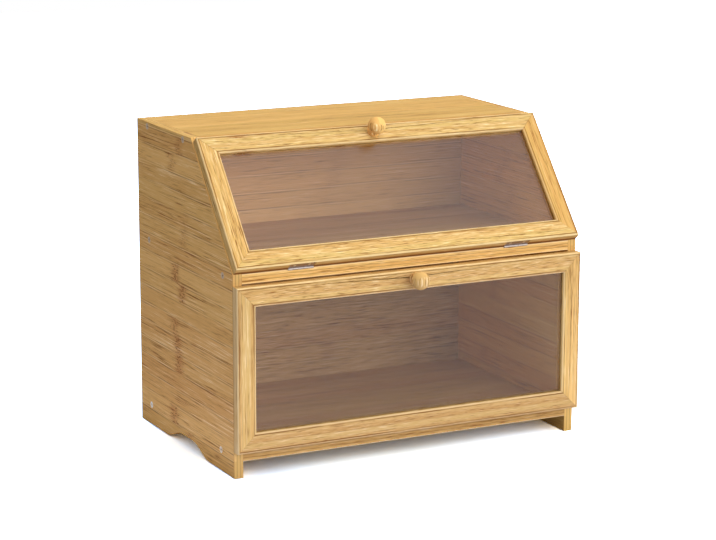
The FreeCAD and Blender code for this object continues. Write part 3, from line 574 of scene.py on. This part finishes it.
FINE_DASH = (80, 1600)
SIDE_LOOK = {"streak": 0.3, "fleck": 0.35, "cloud": 0.3, "seam": 0.6, "knuckles": 0.9,
             "rust": 0.5, "bundle": 0.3, "dash": (25, 900), "scratch": 0.45,
             "scratches": (6, 480)}
INNER_SIDE_LOOK = dict(SIDE_LOOK, seam=0.4, knuckles=0.3, scratch=0.25, tint=(1.08, 1.06, 1.0))
BACK_LOOK = {"streak": 0.2, "fleck": 0.3, "cloud": 0.15, "seam": 0.4, "knuckles": 0.4,
             "dash": (40, 900), "scratch": 0.3, "scratches": (6, 600),
             "tint": (1.08, 1.1, 1.2)}
BOARD_LOOK = {"streak": 0.3, "fleck": 0.2, "cloud": 0.4, "seam": 0.2, "knuckles": 0.2,
              "scratch": 0.2, "tint": (0.95, 0.94, 0.93)}
TOP_LOOK = dict(BOARD_LOOK, tint=(0.91, 0.84, 0.67), scratch=0.4, cloud=0.3, shade=(12, 35))
FRONT_EDGE_LOOK = dict(BOARD_LOOK, edge_fleck=0.5, dash=FINE_DASH, rust=0.7)
RAIL_LOOK = {"streak": 0.25, "fleck": 0.85, "cloud": 0.2, "seam": 0.2,
             "rust": 0.4, "dash": FINE_DASH, "scratch": 0.3, "scratches": (45, 700)}
STILE_LOOK = {"streak": 0.7, "fleck": 0.4, "cloud": 0.2, "seam": 0.5, "dash": FINE_DASH,
              "scratch": 0.3}
KNOB_LOOK = {"streak": 1.1, "fleck": 0.1, "cloud": 0.2, "scratch": 0.2}


def dress_carcass():
    # Painted shade on the left panel's top and front edges and on the right panel's top edges;
    # painted light on the right panel's inner face
    dress_board("side_panel_left", Y, Z, SIDE_LOOK, seed=3, tint=(1.12, 1.02, 0.98),
                tinted_sides=[(Z, (0.82, 0.83, 0.72)), (FRONT, (0.86, 0.93, 1.0))])
    dress_board("side_panel_right", Y, Z, INNER_SIDE_LOOK, seed=11,
                tinted_sides=[(Z, (0.85, 0.8, 0.7)), (LEFT, (1.1, 1.08, 1.02))])
    dress_board("top_board", X, Y, TOP_LOOK, seed=26)
    # Painted light on the shelf's front and painted shade on the bottom board's front, with
    # painted highlights on the front arrises of both
    for name, seed, painted_front_shading in (("shelf_board", 31, (1.27, 1.22, 1.18)),
                                   ("bottom_board", 37, (0.93, 0.87, 0.88))):
        dress_board(name, X, Y, FRONT_EDGE_LOOK, seed, arrises=front_arrises(name),
                    tinted_sides=[(FRONT, painted_front_shading)])
    dress_board("back_panel", X, Z, BACK_LOOK, seed=43)
    dress("carcass_screws", steel_material("panel_screw_steel", (0.90, 0.90, 0.90, 1),
                                           roughness=0.28, bright_below=60 * MM))


def dress_door():
    # Painted shade on the door's underside, with a painted shadow line along its back edge above
    # the shelf
    dress_member("upper_rail_bottom", X, UP_SLOPE, RAIL_LOOK, seed=51, tint=(0.97, 1.0, 1.0),
                 tinted_sides=[(DOWN_SLOPE, (0.78, 0.68, 0.57))],
                 crease=span("upper_rail_bottom", depth_of(X, UP_SLOPE))[0])
    dress_member("upper_rail_top", X, UP_SLOPE, RAIL_LOOK, seed=53, tint=(0.93, 0.94, 0.96),
                 knuckles=1.0, pitch=400 * MM, group_at=-150 * MM, scatter=8 * MM)
    dress_member("upper_stile_left", UP_SLOPE, X, STILE_LOOK, seed=57, streak=0.4, fleck=0.8,
                 tint=(0.96, 0.92, 0.89))
    dress_member("upper_stile_right", UP_SLOPE, X, STILE_LOOK, seed=60, streak=0.3, fleck=0.5,
                 seam=0.2, tint=(0.92, 0.84, 0.74))
    dress("upper_pane", pane_material("upper_pane", passed=(0.93, 0.91, 0.90, 1),
                                      gloss_share=0.04))
    # Its lighter tint is painted light
    dress_turned("upper_knob", KNOB_LOOK, seed=79, tint=(1.18, 1.15, 1.08))


def dress_drawer():
    dress_member("drawer_rail_bottom", X, Z, RAIL_LOOK, seed=61, fleck=0.6,
                 tint=(0.82, 0.79, 0.84))
    dress_member("drawer_rail_top", X, Z, RAIL_LOOK, seed=67, fleck=0.9,
                 tint=(0.97, 0.96, 0.98))
    dress_member("drawer_stile_left", Z, X, STILE_LOOK, seed=71, tint=(0.95, 0.95, 0.97))
    dress_member("drawer_stile_right", Z, X, STILE_LOOK, seed=73, streak=0.6,
                 tint=(1.07, 1.05, 1.03))
    dress("drawer_pane", pane_material("drawer_pane", passed=(0.90, 0.89, 0.88, 1),
                                       gloss_share=0.052))
    dress_turned("drawer_knob", KNOB_LOOK, seed=83, tint=(0.95, 0.92, 0.95))
    dress_board("drawer_side_left", Y, Z, INNER_SIDE_LOOK, seed=89)
    dress_board("drawer_side_right", Y, Z, INNER_SIDE_LOOK, seed=97, tint=(1.24, 1.23, 1.26))
    # Its darker tint is painted shade inside the drawer
    dress_board("drawer_back", X, Z, BACK_LOOK, seed=101, streak=0.4, fleck=0.8, dash=(60, 1100),
                scratch=0.35, scratches=(12, 700), tint=(0.87, 0.85, 0.98))
    dress_board("drawer_bottom", X, Y, BOARD_LOOK, seed=103)
    dress_turned("drawer_dowels", KNOB_LOOK, seed=107)


def dress_metal():
    # Painted shade on the hinges' sides that face down the slope
    hinge_steel = steel_material("hinge_steel", (0.72, 0.66, 0.65, 1), roughness=0.32,
                                 shaded_side=DOWN_SLOPE)
    screw_steel = steel_material("screw_steel", (0.80, 0.80, 0.80, 1), roughness=0.28)
    for side in ("left", "right"):
        for part in ("hinge_leaf_fixed", "hinge_leaf_door", "hinge_pin"):
            dress(f"{part}_{side}", hinge_steel)
    for name in ("hinge_screws_fixed", "hinge_screws_door", "upper_knob_screw",
                 "drawer_knob_screw", "drawer_screws"):
        dress(name, screw_steel)


dress_carcass()
dress_door()
dress_drawer()
dress_metal()

# ---------------------------------------------------------------- stage, light, camera

FLOOR_SIZE = 8.0
FLOOR_DROP = 0.2 * MM
FLOOR_ALBEDO = (0.8, 0.8, 0.8, 1)
HALF_WIDTH, HALF_DEPTH = cad_box[1][0], cad_box[1][1]
CARCASS_FRONT, CARCASS_REAR = span("side_panel_left", Y)

# The lamps leave the floor out and the world lights it weakly.  So the colours that the camera
# sees are far over 1: white in the open, with the box's soft shadow
SHOWN_OPEN = (7.2, 9.1, 11.1, 1)
# Painted shade on top of the real shadow: darker, bluer colours under the box, below its arch and
# beside its foot; and painted light to the right
SHOWN_UNDER = (4.7, 6.2, 9, 1)
SHOWN_ARCH = (3.7, 4.3, 5, 1)
SHOWN_IN_GLOSS = (2.2, 2.2, 2.2, 1)
BESIDE_FOOT = (0.64, 0.72, 0.88, 1)
TO_THE_RIGHT = (1.12, 1.14, 1.22, 1)

# Stretches over which one of those colours turns into the next.  The first two run in from the
# carcass's front and rear, ARCH_SIDES runs out from the middle and the rest from left to right
UNDER_START = (5 * MM, 45 * MM)
ARCH_START = (30 * MM, 75 * MM)
ARCH_SIDES = (130 * MM, 170 * MM)
FOOT_START = (-HALF_WIDTH - 25 * MM, -HALF_WIDTH)
FOOT_END = (-HALF_WIDTH, -60 * MM)
RIGHT_START = (-20 * MM, 140 * MM)

# The light that the floor throws on the box: it rises from the box's outline, fades further
# away, and is stronger in front than behind
GLOW_COLOUR = (0.95, 1.05, 1.6, 1)
GLOW_STRENGTH = 0.5
GLOW_RISE = (0, 30 * MM)
GLOW_FADE = (0, 700 * MM)
GLOW_DEPTH = (-200 * MM, 200 * MM)
GLOW_IN_FRONT, GLOW_BEHIND = 1.35, 0.65

# How strong the world is as light and in reflections, where the camera sees it at 1
AMBIENT = 0.31
SKY_REFLECTED = 1.6


def seen_directly(graph, path):
    """1 for camera, glossy and transmission rays, and 0 for the light that falls on things."""
    seen = graph.math("MAXIMUM", path["Is Camera Ray"], path["Is Glossy Ray"])
    return graph.math("MAXIMUM", seen, path["Is Transmission Ray"])


def shown_colour(graph, place):
    """The floor's colour for the camera, with painted shade: darker and bluer under the box, below
    its arch and beside its foot, where the real shadow falls, and painted light that makes it
    lighter to the right.
    """
    middle = (CARCASS_FRONT + CARCASS_REAR) / 2
    inside = graph.math("SUBTRACT", (CARCASS_REAR - CARCASS_FRONT) / 2,
                        graph.distance(place["Y"], middle))
    colour = graph.mix(graph.band(inside, *UNDER_START), SHOWN_OPEN, SHOWN_UNDER)
    by_foot = graph.ridge(place["X"], FOOT_START, FOOT_END)
    colour = graph.mix(by_foot, colour, BESIDE_FOOT, blend="MULTIPLY")
    right = graph.band(place["X"], *RIGHT_START)
    colour = graph.mix(right, colour, TO_THE_RIGHT, blend="MULTIPLY")
    below_arch = graph.product(graph.band(inside, *ARCH_START), graph.band(
        graph.math("ABSOLUTE", place["X"]), *ARCH_SIDES))
    return graph.mix(below_arch, colour, SHOWN_ARCH)


def glow_strength(graph, place):
    """How much light the floor throws on the box from here."""
    squares = []
    for value, half in ((place["X"], HALF_WIDTH), (place["Y"], HALF_DEPTH)):
        beyond = graph.math("SUBTRACT", graph.math("ABSOLUTE", value), half)
        squares.append(graph.math("POWER", graph.math("MAXIMUM", beyond, 0.0), 2.0))
    away = graph.math("SQRT", graph.math("ADD", *squares))
    return graph.product(graph.band(away, *GLOW_RISE),
                         graph.band(away, *GLOW_FADE, GLOW_STRENGTH, 0),
                         graph.band(place["Y"], *GLOW_DEPTH, GLOW_IN_FRONT, GLOW_BEHIND))


def make_floor():
    """A white floor that keeps the box's contact shadow."""
    bpy.ops.mesh.primitive_plane_add(size=FLOOR_SIZE, location=(0, 0, -FLOOR_DROP))
    item = bpy.context.object
    item.name = "floor"
    graph = material_graph("floor")
    path = graph.add("LightPath").outputs
    place = graph.add("SeparateXYZ", {0: graph.add("TexCoord").outputs["Object"]}).outputs
    colour = graph.mix(path["Is Camera Ray"], SHOWN_IN_GLOSS, shown_colour(graph, place))
    shown = graph.add("BsdfDiffuse", {"Color": colour}).outputs[0]
    diffuse = graph.add("BsdfDiffuse", {"Color": FLOOR_ALBEDO}).outputs[0]
    emission = graph.add("Emission", {
        "Color": GLOW_COLOUR, "Strength": glow_strength(graph, place)}).outputs[0]
    lit = graph.add("AddShader", {0: diffuse, 1: emission}).outputs[0]
    shader = graph.add("MixShader", {0: seen_directly(graph, path), 1: lit, 2: shown})
    item.data.materials.append(graph.surface(shader.outputs[0]))
    return item


def make_world():
    """A white sky: plain white for the camera, soft on things and brighter in reflections."""
    world = bpy.data.worlds.new("studio")
    bpy.context.scene.world = world
    graph = Graph(world, "OutputWorld")
    path = graph.add("LightPath").outputs
    strength = graph.scaled(seen_directly(graph, path), 1 - AMBIENT, AMBIENT)
    strength = graph.scaled(path["Is Glossy Ray"], SKY_REFLECTED - 1, strength)
    background = graph.add("Background", {"Color": WHITE, "Strength": strength})
    graph.surface(background.outputs[0])


def make_sun(name, towards, strength, spread):
    """A lamp as far as the sun, in the given direction, that looks spread degrees wide."""
    lamp = bpy.data.lights.new(name, "SUN")
    lamp.energy = strength
    lamp.angle = math.radians(spread)
    item = bpy.data.objects.new(name, lamp)
    bpy.context.scene.collection.objects.link(item)
    item.rotation_euler = Vector(towards).to_track_quat("Z", "Y").to_euler()
    item.visible_glossy = False
    group = bpy.data.collections.new(f"{name}_receivers")
    item.light_linking.receiver_collection = group
    group.objects.link(floor)
    group.collection_objects[0].light_linking.link_state = "EXCLUDE"


floor = make_floor()
make_world()
make_sun("key", (0.5, -0.41, 0.12), strength=0.9, spread=25)
make_sun("front", (0.17, -0.62, 0.14), strength=0.8, spread=35)
make_sun("top", (0, -0.05, 1), strength=1.7, spread=45)
make_sun("fill", (0.05, -0.85, 0.5), strength=0.62, spread=70)

# The camera as fitted to the photograph, which is FRAME_PIXELS wide
CAMERA_PLACE = Vector((-1.0893, -2.1468, 0.7017))
AZIMUTH, ELEVATION, ROLL = (math.radians(angle) for angle in (-26.809, 12.432, 0.143))
FOCAL_PIXELS, FRAME_PIXELS, SENSOR = 2356.4, 716, 36.0


def make_camera():
    forward = Vector((-math.sin(AZIMUTH) * math.cos(ELEVATION),
                      math.cos(AZIMUTH) * math.cos(ELEVATION), -math.sin(ELEVATION)))
    level = Vector((math.cos(AZIMUTH), math.sin(AZIMUTH), 0))
    upright = level.cross(forward)
    right = math.cos(ROLL) * level + math.sin(ROLL) * upright
    up = math.cos(ROLL) * upright - math.sin(ROLL) * level
    camera = bpy.data.cameras.new("camera")
    camera.sensor_width = SENSOR
    camera.lens = FOCAL_PIXELS * SENSOR / FRAME_PIXELS
    item = bpy.data.objects.new("camera", camera)
    bpy.context.scene.collection.objects.link(item)
    item.matrix_world = Matrix.Translation(CAMERA_PLACE) @ Matrix(
        (right, up, -forward)).transposed().to_4x4()
    bpy.context.scene.camera = item


make_camera()
bpy.context.scene.view_settings.view_transform = "Standard"
